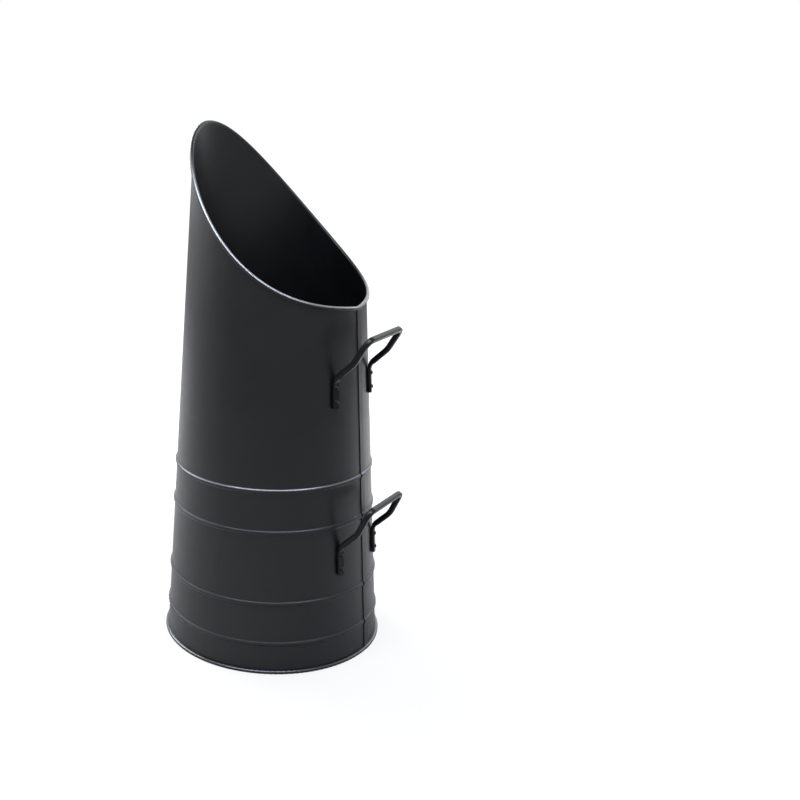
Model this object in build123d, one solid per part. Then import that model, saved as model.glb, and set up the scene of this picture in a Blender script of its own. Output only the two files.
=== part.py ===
"""Tall tapered coal hod in black painted sheet steel, with two forged handles riveted to its back.

Millimetres, +Z up. The origin is the centre of the base, on the floor. The high lip of the mouth
is at the front, -Y, and the low lip, the lap seam and both handles are at the back, +Y.
"""
from build123d import *
import math
import os

# Sheet steel of the body and the base
sheet = 0.8
fold_gap = 0.05          # play between folded layers
overrun = 5.0            # how far a cutting shape runs past what it cuts

# Base plate, folded up and over the hem at the foot of the body
base_radius = 109.0
fold_corner = 1.35
hem_corner = 0.65

# Wall of the body
foot_step = 2.6          # from the edge of the base in to the wall
foot_radius = base_radius - foot_step    # outside of the wall, carried down to the floor
wall_lean = 3.42         # degrees that the wall leans inwards
bead_heights = (30.0, 70.0, 140.0, 180.0)
bead_rise = 1.5
bead_half_width = 3.6

# Lap seam down the back: the sheet's outer end lies over the inner one
lap_width = 7.5
lap_turn = 3.6           # degrees from the middle of the back, away from +X

# Mouth: height of the wall's face at the middle of the rolled rim
back_height = 340.6      # at the corner where the rim's ends meet, over the lap's exposed edge
corner_rise = 23.6       # even rise from that corner round to the front
scoop_rise = 137.4       # what the scoop adds to it at the front
scoop_power = 3.45       # the higher, the more of the scoop's rise lies near the front
mouth_stations = 24      # sections round the mouth

# Rolled rim: the sheet curls outwards round a wire
roll_radius = 1.8
curl_opening = 70.0      # degrees of the roll left open next to the wall
root_bulge = 0.12        # how far each face of the roll's root stands off the wall
root_drop = 1.9          # from the middle of the roll down to the thickest part of its root
root_tip = 1.2           # length of the root below that, where it tapers off into the wall
cut_drop = 1.1           # from the middle of the roll down to the end of the plain wall
wire_play = 0.1          # round the wire inside the roll
wire_end_gap = 1.0       # between the two ends of the wire, at the corner

# Handles: a forged bar of rounded square section with flattened feet
bar = 5.5
bar_corner = 1.8
foot_width = 7.6
foot_thickness = 3.2
foot_corner = 0.8
foot_end_corner = 2.4
foot_spacing = 65.4      # between the middles of the two feet
foot_seat = 0.15         # clearance of a flat foot on the round wall
neck_height = 14.7       # where a foot's line meets the lower arm's, above the middle of the rivets
elbow_reach = 15.0       # where the two parts of an arm meet, out from the wall
elbow_rise = 31.2
neck_radius = 11.5
elbow_radius = 23.0
grip_corner_radius = 7.6
upper_level = 266.2      # middle of the rivets of the upper handle
upper_grip_reach = 29.6
upper_grip_rise = 52.3
lower_level = 104.0
lower_grip_reach = 27.5
lower_grip_rise = 54.4

# Rivets, two in each foot
rivet_spacing = 13.6
rivet_edge = 6.0         # from the middle of the lower rivet to the end of the foot
shank_radius = 1.3
rivet_head_radius = 2.2
rivet_head_height = 1.5
set_head_radius = 2.1
set_head_height = 0.8
rivet_hole_gap = 0.05

# Heights and radii of the folded foot
hem_bottom = sheet + fold_gap
hem_top = hem_bottom + 2 * sheet
fold_top = hem_top + fold_gap + sheet


def wall_radius(height, offset=0.0):
    """Radius at a height, on the wall's outer face or on a face that lies at offset from it."""
    lean = math.radians(wall_lean)
    return foot_radius - height * math.tan(lean) + offset / math.cos(lean)


# Wall with its beads, drawn in the plane of X and Z


def on_wall(height, along, out):
    """Point that lies along the wall and out from it, seen from a height on the wall."""
    lean = math.radians(wall_lean)
    x = wall_radius(height) - along * math.sin(lean) + out * math.cos(lean)
    z = height + along * math.cos(lean) + out * math.sin(lean)
    return (x, 0, z)


def bead_edges(height, offset):
    """The three arcs of one outward bead, on the wall face that lies at offset."""
    bend = 2 * math.atan(bead_rise / bead_half_width)
    radius = bead_half_width / (2 * math.sin(bend))
    hollow = radius - offset

    def hollow_point(share, side):
        along = side * (bead_half_width - hollow * math.sin(share * bend))
        return on_wall(height, along, radius - hollow * math.cos(share * bend))

    crest = on_wall(height, 0, bead_rise + offset)
    return [
        ThreePointArc(hollow_point(0, -1), hollow_point(1 / 2, -1), hollow_point(1, -1)),
        ThreePointArc(hollow_point(1, -1), crest, hollow_point(1, 1)),
        ThreePointArc(hollow_point(1, 1), hollow_point(1 / 2, 1), hollow_point(0, 1)),
    ]


def wall_edges(offset, bottom, top):
    """The wall's face at offset, from bottom to top."""
    edges = []
    last = (wall_radius(bottom, offset), 0, bottom)
    for height in bead_heights:
        arcs = bead_edges(height, offset)
        edges.append(Line(last, arcs[0] @ 0))
        edges += arcs
        last = arcs[-1] @ 1
    edges.append(Line(last, (wall_radius(top, offset), 0, top)))
    return edges


def wall_ring(inner, outer, bottom, top):
    """Solid of revolution between two faces of the wall."""
    inside = wall_edges(inner, bottom, top)
    outside = wall_edges(outer, bottom, top)
    ends = [Line(inside[0] @ 0, outside[0] @ 0), Line(inside[-1] @ 1, outside[-1] @ 1)]
    return revolve(make_face(inside + outside + ends), Axis.Z)


# Mouth and rolled rim


def mouth_frame(share):
    """Plane across the roll, at a share of the way round from the rim's corner.

    The origin is the middle of the roll, x points out of the wall and y up it, square to the rim.
    """
    lap_edge = math.degrees(math.asin(lap_width / 2 / wall_radius(back_height)))
    a = math.radians(lap_turn - lap_edge - 180 + 360 * share)
    scoop = max(0, math.cos(a / 2))
    even = math.pi * share
    height = back_height + corner_rise * math.sin(even) + scoop_rise * scoop ** scoop_power
    slope = -scoop_power / 2 * scoop_rise * scoop ** (scoop_power - 1) * math.sin(a / 2)
    if share > 0:        # at the corner, the section stands where both sides meet
        slope += corner_rise / 2 * math.cos(even)
    lean = math.radians(wall_lean)
    outward = Vector(math.sin(a), -math.cos(a), 0)
    sideways = Vector(math.cos(a), math.sin(a), 0)
    up = Vector(0, 0, 1)
    normal = outward * math.cos(lean) + up * math.sin(lean)
    along = sideways * wall_radius(height) + (up - outward * math.tan(lean)) * slope
    origin = outward * wall_radius(height) + up * height + normal * (roll_radius - sheet)
    return Plane(origin=origin, x_dir=normal, z_dir=-along)


def ring_loft(section):
    """Closed ring through one flat section at every station round the mouth."""
    planes = [mouth_frame(i / mouth_stations) for i in range(mouth_stations)]
    wires = [section(plane).face().outer_wire() for plane in planes]
    return Solid.make_loft(wires + wires[:1], False)


def on_roll(radius, angle):
    """Point round the middle of the roll, at an angle in degrees from the way out of the wall."""
    return (radius * math.cos(math.radians(angle)), radius * math.sin(math.radians(angle)))


def roll_arc(radius, first, last):
    middle = (first + last) / 2
    return ThreePointArc(on_roll(radius, first), on_roll(radius, middle), on_roll(radius, last))


def roll_section(plane):
    """Section of the curled sheet: a root that grips the wall, and an open curl."""
    inner = roll_radius - sheet
    end = curl_opening - 180
    side = (180 + end) / 6
    tip = (sheet / 2 - roll_radius, -root_drop - root_tip)
    outer_root = (-roll_radius - root_bulge, -root_drop)
    inner_root = (-inner + root_bulge, -root_drop)
    outline = [
        Line(tip, outer_root),
        Line(outer_root, on_roll(roll_radius, 180)),
        roll_arc(roll_radius, 180, side),
        roll_arc(roll_radius, side, end),
        Line(on_roll(roll_radius, end), on_roll(inner, end)),
        roll_arc(inner, end, side),
        roll_arc(inner, side, 180),
        Line(on_roll(inner, 180), inner_root),
        Line(inner_root, tip),
    ]
    return plane * make_face(outline)


def cut_section(plane):
    """Section of the cut that parts the wall from the sheet above it."""
    middle = Pos(-roll_radius, overrun / 2 - cut_drop, 0)
    return plane * middle * Rectangle(2 * overrun, overrun)


# Feet and rivets of the handles


def foot_plane(level, side):
    """Plane on the wall under a foot: x across the foot, y up the wall, z out of it."""
    turn = math.asin(foot_spacing / 2 / (wall_radius(level) + foot_thickness / 2))
    lean = math.radians(wall_lean)
    outward = Vector(side * math.sin(turn), math.cos(turn), 0)
    across = Vector(-math.cos(turn), side * math.sin(turn), 0)
    origin = outward * wall_radius(level) + Vector(0, 0, level)
    normal = outward * math.cos(lean) + Vector(0, 0, math.sin(lean))
    return Plane(origin=origin, x_dir=across, z_dir=normal)


def rivet_places(level, side):
    """The upper and the lower rivet of a foot."""
    plane = foot_plane(level, side)
    return [plane * Pos(0, shift, 0) for shift in (rivet_spacing / 2, -rivet_spacing / 2)]


def dome_arc(radius, flat, top):
    """Arc of a shallow dome, from its edge to its top on the Z axis."""
    rise = abs(top - flat)
    ball = (radius ** 2 + rise ** 2) / (2 * rise)
    half = math.asin(radius / ball) / 2
    sign = math.copysign(1, top - flat)
    middle = (ball * math.sin(half), 0, top - sign * ball * (1 - math.cos(half)))
    return ThreePointArc((radius, 0, flat), middle, (0, 0, top))


def rivet():
    """One rivet along Z: a domed head on the foot, a shank, and a set head inside the wall."""
    head_flat = foot_seat + foot_thickness
    head_top = head_flat + rivet_head_height
    set_flat = -sheet - fold_gap
    set_top = set_flat - set_head_height
    outline = [
        Line((0, 0, set_top), (0, 0, head_top)),
        dome_arc(rivet_head_radius, head_flat, head_top),
        Line((rivet_head_radius, 0, head_flat), (shank_radius, 0, head_flat)),
        Line((shank_radius, 0, head_flat), (shank_radius, 0, set_flat)),
        Line((shank_radius, 0, set_flat), (set_head_radius, 0, set_flat)),
        dome_arc(set_head_radius, set_flat, set_top),
    ]
    return revolve(make_face(outline), Axis.Z)


def rivet_holes():
    """Holes for all rivets, through the wall and the feet."""
    hole = Cylinder(shank_radius + rivet_hole_gap, 2 * (foot_thickness + overrun))
    places = []
    for level in (upper_level, lower_level):
        places += rivet_places(level, 1) + rivet_places(level, -1)
    return [place * hole for place in places]


# Pieces


def make_rim_wire():
    """Round wire along the middle of the roll, whose ends nearly meet at the corner."""
    end = wire_end_gap / (4 * math.pi * wall_radius(back_height))
    steps = 3 * mouth_stations
    points = [mouth_frame(end + (1 - 2 * end) * i / steps).origin for i in range(steps + 1)]
    path = Spline(*points)
    start = Plane(origin=path @ 0, z_dir=path % 0)
    return sweep(start * Circle(roll_radius - sheet - wire_play), path=path)


def make_body_shell():
    """Wall, beads, hem, lap seam and rolled rim, all of one sheet."""
    top = back_height + corner_rise + scoop_rise + overrun
    shell = wall_ring(-sheet, 0, hem_bottom, top)
    hem = Pos(0, 0, hem_bottom) * Cylinder(
        base_radius - sheet - fold_gap, 2 * sheet, align=(Align.CENTER, Align.CENTER, Align.MIN)
    )
    hem = fillet(hem.edges(), hem_corner)
    hem -= Cylinder(wall_radius(hem_top, -sheet / 2), 2 * fold_top)
    lap = wall_ring(-sheet / 2, sheet, fold_top + fold_gap, top)
    slab = Rot(0, 0, lap_turn) * Pos(0, base_radius / 2, 0) * Box(lap_width, base_radius, 2 * top)
    shell = shell + hem + (lap & slab)
    parted = shell - ring_loft(cut_section)
    shell = parted.solids().sort_by(Axis.Z)[0] + ring_loft(roll_section)
    return shell - rivet_holes()


def make_base_plate():
    """Flat disc whose edge is folded up and back over the body's hem."""
    inner = base_radius - sheet
    lip = wall_radius(fold_top - sheet) + fold_gap
    outline = Polyline(
        (0, 0, 0),
        (base_radius, 0, 0),
        (base_radius, 0, fold_top),
        (lip, 0, fold_top),
        (lip, 0, fold_top - sheet),
        (inner, 0, fold_top - sheet),
        (inner, 0, sheet),
        (0, 0, sheet),
        close=True,
    )
    profile = make_face(outline)
    outside = profile.vertices().filter_by(lambda v: v.X > (base_radius + inner) / 2)
    profile = fillet(outside, fold_corner)
    inside = profile.vertices().filter_by(lambda v: abs(v.X - inner) < fold_gap)
    profile = fillet(inside, fold_corner - sheet)
    return revolve(profile, Axis.Z)


def make_handle(level, grip_reach, grip_rise):
    """One bar: two flattened feet, two arms that double back upwards, and a straight grip."""
    lean = math.radians(wall_lean)
    frame = Plane(
        origin=(0, wall_radius(level), level),
        x_dir=(-1, 0, 0),
        z_dir=(0, math.cos(lean), math.sin(lean)),
    )
    feet = [foot_plane(level, side) for side in (1, -1)]
    middle = foot_seat + foot_thickness / 2
    ends = [foot.from_local_coords((0, 0, middle)) for foot in feet]
    necks = [foot.from_local_coords((0, neck_height, middle)) for foot in feet]
    across = [frame.to_local_coords(neck).X for neck in necks]
    elbows = [frame.from_local_coords((x, elbow_rise, elbow_reach)) for x in across]
    corners = [frame.from_local_coords((x, grip_rise, grip_reach)) for x in across]
    route = [ends[0], necks[0], elbows[0], corners[0], corners[1], elbows[1], necks[1], ends[1]]
    radii = [neck_radius, elbow_radius, grip_corner_radius]
    path = FilletPolyline(*route, radius=radii + radii[::-1])
    edges = path.edges()
    bar_path = Wire(edges[2:-2])
    section = RectangleRounded(bar, bar, bar_corner)
    start = Plane(origin=bar_path @ 0, x_dir=frame.x_dir, z_dir=bar_path % 0)
    piece = sweep(start * section, path=bar_path)
    for foot, neck_arc, back in ((feet[0], edges[1], False), (feet[1], edges[-2], True)):
        piece += make_foot(foot, frame, neck_arc, back)
    return piece - rivet_holes()


def make_foot(foot, frame, neck_arc, back):
    """A flattened foot, and the neck where it turns into the bar."""
    shares = (1, 1 / 2, 0) if back else (0, 1 / 2, 1)
    sizes = (
        (foot_width, foot_thickness, foot_corner),
        ((foot_width + bar) / 2, (3 * foot_thickness + bar) / 4, (foot_corner + bar_corner) / 2),
        (bar, bar, bar_corner),
    )
    x_dirs = (foot.x_dir, foot.x_dir + frame.x_dir, frame.x_dir)
    sections = []
    for share, (width, depth, corner), x_dir in zip(shares, sizes, x_dirs):
        tangent = neck_arc % share
        upward = -tangent if back else tangent
        x_dir = x_dir - upward * x_dir.dot(upward)
        place = Plane(origin=neck_arc @ share, x_dir=x_dir, z_dir=upward)
        sections.append(place * RectangleRounded(width, depth, corner))
    neck = loft(sections)
    flat_top = foot.to_local_coords(neck_arc @ shares[0]).Y
    plate_length = flat_top + rivet_spacing / 2 + rivet_edge
    plate = extrude(sections[0], -plate_length)
    outline = RectangleRounded(foot_width, 2 * plate_length, foot_end_corner)
    slab = Pos(0, flat_top, 0) * extrude(outline, foot_seat + foot_thickness + overrun)
    return (plate & (foot * slab)) + neck


# Build, and write one file for each piece

pieces = {
    "body_shell": make_body_shell(),
    "rim_wire": make_rim_wire(),
    "base_plate": make_base_plate(),
    "upper_handle": make_handle(upper_level, upper_grip_reach, upper_grip_rise),
    "lower_handle": make_handle(lower_level, lower_grip_reach, lower_grip_rise),
}
for tier, level in (("upper", upper_level), ("lower", lower_level)):
    for hand, side in (("left", 1), ("right", -1)):
        for place, end in zip(rivet_places(level, side), ("top", "bottom")):
            pieces[f"{tier}_{hand}_{end}_rivet"] = place * rivet()

os.makedirs("parts", exist_ok=True)
for name, piece in pieces.items():
    export_step(piece, f"parts/{name}.step")
    print(name, len(piece.solids()), round(piece.volume, 1))
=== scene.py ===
"""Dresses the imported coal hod: black satin paint, forged handles, a copper ornament, soft light."""
import bpy
import bmesh
import math
from mathutils import Matrix, Vector


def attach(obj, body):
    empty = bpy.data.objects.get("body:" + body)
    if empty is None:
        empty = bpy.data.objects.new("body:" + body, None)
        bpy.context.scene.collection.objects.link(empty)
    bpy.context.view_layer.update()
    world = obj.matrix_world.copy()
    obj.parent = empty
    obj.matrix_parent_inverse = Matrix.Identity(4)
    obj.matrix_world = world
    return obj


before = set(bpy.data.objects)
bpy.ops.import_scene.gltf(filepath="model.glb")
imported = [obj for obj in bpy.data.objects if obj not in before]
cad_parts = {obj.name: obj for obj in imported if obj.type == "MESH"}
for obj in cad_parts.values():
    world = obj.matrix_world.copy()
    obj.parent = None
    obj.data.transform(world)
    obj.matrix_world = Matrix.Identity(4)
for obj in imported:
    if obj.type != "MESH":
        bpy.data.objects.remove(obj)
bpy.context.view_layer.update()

# Lengths are in metres, and angles in degrees unless a line says otherwise
mm = 0.001

# Camera, solved from the photograph; a picture is 800 by 800 pixels
picture = 800
camera_azimuth = 122.13      # round the hod, 0 in front of it and 90 at +X
camera_distance = 1.0659     # from the hod's axis, along the floor
camera_height = 0.5579
camera_yaw = -4.05           # how far the view turns clockwise from the axis
camera_pitch = 16.53         # downwards
camera_roll = 0.41
focal_pixels = 1134.5
centre_column = 197.25       # where the lens's axis meets the picture
centre_row = 397.28
sensor = 36.0

# The wall, as the model has it
foot_radius = 106.4 * mm     # of its outside, carried down to the floor
wall_lean = math.radians(3.42)         # in radians
plain_reach = (0.05 * mm, 0.12 * mm)   # off its cone: plain within the first, not past the second

# Copper ornament on the front, in the clear band between the second and the third bead
ornament_height = 104 * mm   # of its middle
ornament_thickness = 0.08 * mm
ornament_sink = 0.03 * mm
ornament_steps = 12          # strips across each lozenge
tip_share = 1 / 60           # of a lozenge's height, left at its two tips
lozenges = (                 # middle along the band, half width and half height, in millimetres
    (0.0, 13.0, 13.5),
    (-21.0, 5.0, 7.0),
    (21.0, 5.0, 7.0),
    (-38.0, 8.0, 10.0),
    (38.0, 8.0, 10.0),
)

# Paint wear with a painted highlight on the top of the base's fold, the beads and the rim, on their
# upward parts towards the camera's side. Each pair is where it starts and from where on it is full.
wear_and_sheen_azimuth = 140         # the side that gets the wear and the painted highlight, near the camera's side
wear_and_sheen_side = (-20 * mm, 20 * mm)      # towards that side, from the hod's axis
wear_and_sheen_proud = (0.3 * mm, 0.8 * mm)    # out of the wall
wear_and_sheen_upward = (0.3, 0.55)            # upward part of the surface's normal
wear_and_sheen_fold_height = (2.2 * mm, 2.9 * mm)     # height, which stands in for the normal on the fold
fold_end = (4.5 * mm, 5.5 * mm)        # height at which the normal takes over

# Colour of the wear with its painted highlight, lightest at the rim. The stops are shares of a
# height.
wear_and_sheen_height = 0.4
wear_and_sheen_fold_colour = (0.11, 0.115, 0.13)
wear_and_sheen_low_beads = (0.055, 0.057, 0.066)
wear_and_sheen_top_bead = (0.17, 0.178, 0.2)
wear_and_sheen_rim = (0.23, 0.238, 0.26)
wear_and_sheen_stops = (
    (0.02, wear_and_sheen_fold_colour),
    (0.04, wear_and_sheen_low_beads),
    (0.375, wear_and_sheen_low_beads),
    (0.425, wear_and_sheen_top_bead),
    (0.7, wear_and_sheen_top_bead),
    (0.8, wear_and_sheen_rim),
)

# Light from the world
sky = (0.96, 0.97, 1.0)
bright_turn = -165           # from the camera round to the world's bright side
bright_fade = (-0.3, 0.5)    # cosine of the angle from that side, dim up to here, bright from here
front_light = 0.59
back_light = 2.0
top_fade = (0.5, 0.85)       # sine of the height, plain up to here, dimmest from here
top_share = 0.3              # how much of the light is left at the top

# Floor: it glows white to the camera, less so near the hod, where it shows the shadow
floor_side = 6.0             # half its width
floor_colour = (0.37, 0.37, 0.375)
glow_share = 0.6             # of what the camera sees of the floor
glow_reach = (0.2, 1.2)      # distance from the hod's axis
near_glow = 1.3
far_glow = 1.6

# Lamps
lamp_turn = 135              # from the camera round to each of the two back lamps
overhead_colour = (0.88, 0.93, 1.0)


def around(azimuth, distance, height):
    """Point at an azimuth, a distance from the hod's axis and a height."""
    turn = math.radians(azimuth)
    return (distance * math.sin(turn), -distance * math.cos(turn), height)


# Camera


def make_camera():
    data = bpy.data.cameras.new("camera")
    data.sensor_width = sensor
    data.lens = focal_pixels / picture * sensor
    data.shift_x = (picture / 2 - centre_column) / picture
    data.shift_y = (centre_row - picture / 2) / picture
    camera = bpy.data.objects.new("camera", data)
    bpy.context.scene.collection.objects.link(camera)
    place = Vector(around(camera_azimuth, camera_distance, camera_height))
    heading = Matrix.Rotation(math.radians(camera_azimuth - camera_yaw), 4, "Z")
    tilt = Matrix.Rotation(math.radians(90 - camera_pitch), 4, "X")
    roll = Matrix.Rotation(math.radians(-camera_roll), 4, "Z")
    camera.matrix_world = Matrix.Translation(place) @ heading @ tilt @ roll
    bpy.context.scene.camera = camera


# Nodes


class Tree:
    """Short ways to add nodes to a node tree. A value is a socket or a plain value."""

    def __init__(self, tree):
        self.nodes = tree.nodes
        self.links = tree.links

    def add(self, kind, **settings):
        node = self.nodes.new(kind)
        for name, value in settings.items():
            setattr(node, name, value)
        return node

    def feed(self, socket, value):
        if isinstance(value, bpy.types.NodeSocket):
            self.links.new(value, socket)
        else:
            socket.default_value = value

    def math(self, operation, *values):
        node = self.add("ShaderNodeMath", operation=operation)
        for socket, value in zip(node.inputs, values):
            self.feed(socket, value)
        return node.outputs["Value"]

    def vector_math(self, operation, output, *values):
        node = self.add("ShaderNodeVectorMath", operation=operation)
        for socket, value in zip(node.inputs, values):
            self.feed(socket, value)
        return node.outputs[output]

    def between(self, value, source, target=(0, 1), kind="SMOOTHSTEP"):
        """Moves a value from the source's range to the target's, and holds it past both ends."""
        node = self.add("ShaderNodeMapRange", interpolation_type=kind)
        for name, number in zip(("From Min", "From Max", "To Min", "To Max"), (*source, *target)):
            node.inputs[name].default_value = number
        self.feed(node.inputs["Value"], value)
        return node.outputs["Result"]

    def split(self, vector):
        node = self.add("ShaderNodeSeparateXYZ")
        self.feed(node.inputs["Vector"], vector)
        return [node.outputs[axis] for axis in "XYZ"]

    def blend(self, kind, share, first, second):
        """From the first to the second, both of a kind: Color or Vector."""
        node = self.add("ShaderNodeMix", data_type={"Color": "RGBA", "Vector": "VECTOR"}[kind])
        sockets = {socket.identifier: socket for socket in (*node.inputs, *node.outputs)}
        self.feed(node.inputs["Factor"], share)
        self.feed(sockets["A_" + kind], first)
        self.feed(sockets["B_" + kind], second)
        return sockets["Result_" + kind]

    def camera_ray(self):
        """1 for what the camera sees itself, and 0 for all other light."""
        return self.add("ShaderNodeLightPath").outputs["Is Camera Ray"]

    def show(self, output, share, first, second):
        """The tree's output: two shaders mixed, with the share of the second."""
        mix = self.add("ShaderNodeMixShader")
        self.feed(mix.inputs["Fac"], share)
        self.feed(mix.inputs[1], first.outputs[0])
        self.feed(mix.inputs[2], second.outputs[0])
        self.feed(self.add(output).inputs["Surface"], mix.outputs[0])


class Paint(Tree):
    """A material with a Principled shader, textured in the row frame."""

    def __init__(self, name):
        self.material = bpy.data.materials.new(name)
        self.material.use_nodes = True
        super().__init__(self.material.node_tree)
        self.shader = self.nodes["Principled BSDF"]
        self.place = self.add("ShaderNodeTexCoord").outputs["Object"]

    def set(self, name, value):
        self.feed(self.shader.inputs[name], value)

    def normal(self):
        return self.add("ShaderNodeNewGeometry").outputs["Normal"]

    def noise(self, scale, detail, roughness=0.5, stretch=(1, 1, 1)):
        """Noise whose scale is in features for each metre."""
        mapping = self.add("ShaderNodeMapping")
        mapping.inputs["Scale"].default_value = stretch
        self.feed(mapping.inputs["Vector"], self.place)
        node = self.add("ShaderNodeTexNoise")
        node.inputs["Scale"].default_value = scale
        node.inputs["Detail"].default_value = detail
        node.inputs["Roughness"].default_value = roughness
        self.feed(node.inputs["Vector"], mapping.outputs["Vector"])
        return node.outputs["Fac"]

    def ramp(self, value, *stops):
        """Colours along a value. Each stop is a position and a colour, or one number for a grey."""
        node = self.add("ShaderNodeValToRGB")
        elements = node.color_ramp.elements
        while len(elements) < len(stops):
            elements.new(0.5)
        for element, (position, colour) in zip(elements, stops):
            element.position = position
            element.color = (*(colour if isinstance(colour, tuple) else [colour] * 3), 1)
        self.feed(node.inputs["Fac"], value)
        return node.outputs["Color"]

    def bump(self, value, depth, onto=None):
        """Bump of a depth in metres, on another normal if one is given."""
        node = self.add("ShaderNodeBump")
        node.inputs["Strength"].default_value = 1.0
        node.inputs["Distance"].default_value = depth
        self.feed(node.inputs["Height"], value)
        if onto:
            self.feed(node.inputs["Normal"], onto)
        return node.outputs["Normal"]


# Materials


def beside_wall(paint):
    """A point's X, Y and Z, its distance from the hod's axis, and how far out of the wall it is."""
    x, y, z = paint.split(paint.place)
    squares = (paint.math("MULTIPLY", part, part) for part in (x, y))
    across = paint.math("SQRT", paint.math("ADD", *squares))
    face = paint.math("MULTIPLY_ADD", z, -math.tan(wall_lean), foot_radius)
    return (x, y, z), across, paint.math("SUBTRACT", across, face)


def even_normal(paint):
    """The mesh's normal, but on the plain wall the normal of its cone, so that no seam shows."""
    (x, y, _), across, out = beside_wall(paint)
    cone = paint.add("ShaderNodeCombineXYZ")
    for axis, part in (("X", x), ("Y", y)):
        sideways = paint.math("DIVIDE", part, across)
        paint.feed(cone.inputs[axis], paint.math("MULTIPLY", sideways, math.cos(wall_lean)))
    cone.inputs["Z"].default_value = math.sin(wall_lean)
    beyond = paint.between(paint.math("ABSOLUTE", out), plain_reach)
    blend = paint.blend("Vector", beyond, cone.outputs["Vector"], paint.normal())
    return paint.vector_math("NORMALIZE", "Vector", blend)


def wear_and_sheen(paint):
    """Share of paint wear with a painted highlight on upward, proud parts near the camera's side, and
    its colour.
    """
    (x, y, z), _, out = beside_wall(paint)
    proud = paint.between(out, wear_and_sheen_proud)
    fold = paint.between(z, wear_and_sheen_fold_height)
    tilt = paint.between(paint.split(paint.normal())[2], wear_and_sheen_upward)
    raised = paint.math("SUBTRACT", tilt, fold)
    upward = paint.math("MULTIPLY_ADD", raised, paint.between(z, fold_end), fold)
    # Kept to the side near the camera, where the painted highlight goes
    toward_x, toward_y, _ = around(wear_and_sheen_azimuth, 1, 0)
    side = paint.math("MULTIPLY_ADD", y, toward_y, paint.math("MULTIPLY", x, toward_x))
    sheen_side_share = paint.between(side, wear_and_sheen_side)
    share = paint.math("MULTIPLY", paint.math("MULTIPLY", proud, upward), sheen_side_share)
    return share, paint.ramp(paint.math("DIVIDE", z, wear_and_sheen_height), *wear_and_sheen_stops)


def satin_paint():
    """Black satin paint on smooth sheet: a very fine peel, faint clouding, broad dents, and wear with
    a painted highlight.
    """
    paint = Paint("black_satin_paint")
    cloud = paint.noise(scale=22, detail=4)
    black = paint.ramp(cloud, (0.3, (0.0034, 0.0034, 0.0044)), (0.7, (0.0052, 0.0052, 0.0066)))
    # Paint wear on the proud, upward parts, made lighter and metallic there as a painted highlight
    wear_and_sheen_share, wear_and_sheen_colour = wear_and_sheen(paint)
    paint.set("Base Color", paint.blend("Color", wear_and_sheen_share, black, wear_and_sheen_colour))
    paint.set("Metallic", wear_and_sheen_share)
    haze = paint.noise(scale=60, detail=5, roughness=0.6)
    paint.set("Roughness", paint.ramp(haze, (0.3, 0.33), (0.7, 0.39)))
    peel = paint.bump(paint.noise(scale=600, detail=2), 0.0015 * mm, even_normal(paint))
    paint.set("Normal", paint.bump(paint.noise(scale=14, detail=2), 0.1 * mm, peel))
    return paint.material


def forged_paint():
    """The same paint, with less shine, on bar and rivets that are hammered a little."""
    paint = Paint("black_forged_paint")
    cloud = paint.noise(scale=90, detail=4)
    black = paint.ramp(cloud, (0.3, (0.0024, 0.0024, 0.0032)), (0.7, (0.0044, 0.0044, 0.0056)))
    paint.set("Base Color", black)
    paint.set("Specular IOR Level", 0.27)
    haze = paint.noise(scale=160, detail=4, roughness=0.6)
    paint.set("Roughness", paint.ramp(haze, (0.3, 0.26), (0.7, 0.34)))
    peel = paint.bump(paint.noise(scale=600, detail=2), 0.003 * mm)
    paint.set("Normal", paint.bump(paint.noise(scale=120, detail=2), 0.03 * mm, peel))
    return paint.material


def copper_print():
    """Flat copper-coloured print."""
    paint = Paint("copper_print")
    fleck = paint.noise(scale=700, detail=4, roughness=0.65)
    copper = paint.ramp(fleck, (0.3, (0.42, 0.135, 0.06)), (0.7, (0.60, 0.22, 0.11)))
    paint.set("Base Color", copper)
    paint.set("Metallic", 0.35)
    paint.set("Roughness", paint.ramp(fleck, (0.2, 0.38), (0.8, 0.55)))
    paint.set("Normal", paint.bump(paint.noise(scale=1600, detail=2), 0.008 * mm))
    return paint.material


def drawn_steel():
    """Bare drawn wire, closed inside the rolled rim."""
    paint = Paint("drawn_steel")
    streak = paint.noise(scale=400, detail=3, stretch=(1, 1, 0.2))
    steel = paint.ramp(streak, (0.3, (0.30, 0.29, 0.28)), (0.7, (0.42, 0.41, 0.40)))
    paint.set("Base Color", steel)
    paint.set("Metallic", 1.0)
    paint.set("Roughness", paint.ramp(streak, (0.3, 0.35), (0.7, 0.5)))
    return paint.material


def dress_nodes():
    """Gives each node of the model its material."""
    satin, forged, steel = satin_paint(), forged_paint(), drawn_steel()
    for name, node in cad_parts.items():
        material = forged if "handle" in name or "rivet" in name else satin
        if name == "rim_wire":
            material = steel
        for holder in node.material_slots:
            holder.material = material


# Ornament


def wall_point(along, height, out):
    """Point on the front: along the band from its middle, up from the floor, out of the wall."""
    radius = foot_radius - height * math.tan(wall_lean)
    turn = along / radius
    reach = radius + out * math.cos(wall_lean)
    rise = height + out * math.sin(wall_lean)
    return Vector((reach * math.sin(turn), -reach * math.cos(turn), rise))


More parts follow.
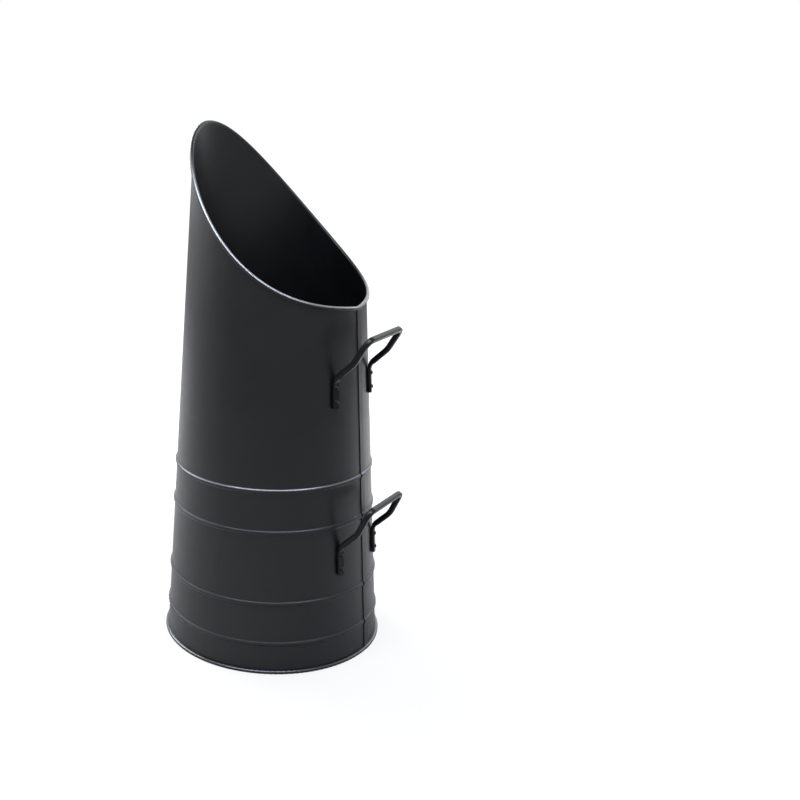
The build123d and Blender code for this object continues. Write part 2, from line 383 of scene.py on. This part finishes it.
def make_ornament():
    """A row of plain lozenges, each a thin curved plate that follows the wall."""
    low, high, inner, outer = -1, 1, -ornament_sink, ornament_thickness
    corners = ((low, inner), (low, outer), (high, outer), (high, inner))
    shape = bmesh.new()
    for middle, half_width, half_height in lozenges:
        ends = []
        for step in range(ornament_steps + 1):
            share = 2 * step / ornament_steps - 1
            along = (middle + share * half_width) * mm
            reach = max(half_height * (1 - abs(share)), half_height * tip_share) * mm
            ends.append([
                shape.verts.new(wall_point(along, ornament_height + side * reach, out))
                for side, out in corners
            ])
        for left, right in zip(ends, ends[1:]):
            for i in range(len(corners)):
                j = (i + 1) % len(corners)
                shape.faces.new((left[i], right[i], right[j], left[j]))
        shape.faces.new(ends[0])
        shape.faces.new(reversed(ends[-1]))
    bmesh.ops.recalc_face_normals(shape, faces=shape.faces)
    mesh = bpy.data.meshes.new("front_ornament")
    shape.to_mesh(mesh)
    shape.free()
    mesh.materials.append(copper_print())
    ornament = bpy.data.objects.new("front_ornament", mesh)
    bpy.context.scene.collection.objects.link(ornament)
    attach(ornament, "root")


# Stage


def make_floor():
    """A wide pale floor that shows white to the camera but keeps the shadow."""
    mesh = bpy.data.meshes.new("floor")
    outline = [(x * floor_side, y * floor_side, 0) for x, y in ((-1, -1), (1, -1), (1, 1), (-1, 1))]
    mesh.from_pydata(outline, [], [(0, 1, 2, 3)])
    floor = bpy.data.objects.new("floor", mesh)
    bpy.context.scene.collection.objects.link(floor)
    material = bpy.data.materials.new("pale_floor")
    material.use_nodes = True
    tree = Tree(material.node_tree)
    tree.nodes.clear()
    diffuse = tree.add("ShaderNodeBsdfDiffuse")
    diffuse.inputs["Color"].default_value = (*floor_colour, 1)
    glow = tree.add("ShaderNodeEmission")
    away = tree.vector_math("LENGTH", "Value", tree.add("ShaderNodeTexCoord").outputs["Object"])
    strength = tree.between(away, glow_reach, (near_glow, far_glow), "LINEAR")
    tree.feed(glow.inputs["Strength"], strength)
    share = tree.math("MULTIPLY", tree.camera_ray(), glow_share)
    tree.show("ShaderNodeOutputMaterial", share, diffuse, glow)
    mesh.materials.append(material)


def make_world():
    """White to the camera. As light, a soft grey, brighter behind the hod and dimmer overhead."""
    world = bpy.data.worlds.new("studio")
    bpy.context.scene.world = world
    world.use_nodes = True
    tree = Tree(world.node_tree)
    tree.nodes.clear()
    seen = tree.add("ShaderNodeBackground")
    seen.inputs["Color"].default_value = (1, 1, 1, 1)
    light = tree.add("ShaderNodeBackground")
    light.inputs["Color"].default_value = (*sky, 1)
    direction = tree.add("ShaderNodeTexCoord").outputs["Generated"]
    bright_side = around(camera_azimuth + bright_turn, 1, 0)
    cosine = tree.vector_math("DOT_PRODUCT", "Value", direction, bright_side)
    strength = tree.between(cosine, bright_fade, (front_light, back_light))
    dimming = tree.between(tree.split(direction)[2], top_fade, (1, top_share))
    tree.feed(light.inputs["Strength"], tree.math("MULTIPLY", strength, dimming))
    tree.show("ShaderNodeOutputWorld", tree.camera_ray(), light, seen)


def make_lamp(name, place, target, width, height, power, spread=180, colour=(1, 1, 1)):
    """Area lamp aimed at a target, unseen by the camera."""
    data = bpy.data.lights.new(name, "AREA")
    data.color = colour
    data.shape = "RECTANGLE"
    data.size = width
    data.size_y = height
    data.energy = power
    data.spread = math.radians(spread)
    lamp = bpy.data.objects.new(name, data)
    bpy.context.scene.collection.objects.link(lamp)
    lamp.location = place
    lamp.visible_camera = False
    lamp.rotation_euler = (Vector(target) - Vector(place)).to_track_quat("-Z", "Y").to_euler()


def make_lamps():
    """A wide strip above the hod on the camera's side, and two lamps above the floor behind it."""
    left, right = camera_azimuth - lamp_turn, camera_azimuth + lamp_turn
    make_lamp(
        "overhead", place=around(camera_azimuth, distance=0.4, height=1.2), target=(0, 0, 0.25),
        width=1.5, height=0.3, power=16, colour=overhead_colour,
    )
    make_lamp(
        "left_back", place=around(left, distance=1.0, height=0.85),
        target=around(left, distance=0.9, height=0),
        width=0.8, height=0.8, power=24,
    )
    make_lamp(
        "right_back", place=around(right, distance=0.9, height=0.7),
        target=around(right, distance=0.9, height=0),
        width=0.6, height=0.6, power=8, spread=110,
    )


# Build

make_camera()
dress_nodes()
make_ornament()
make_floor()
make_world()
make_lamps()

bpy.context.scene.view_settings.view_transform = "Standard"
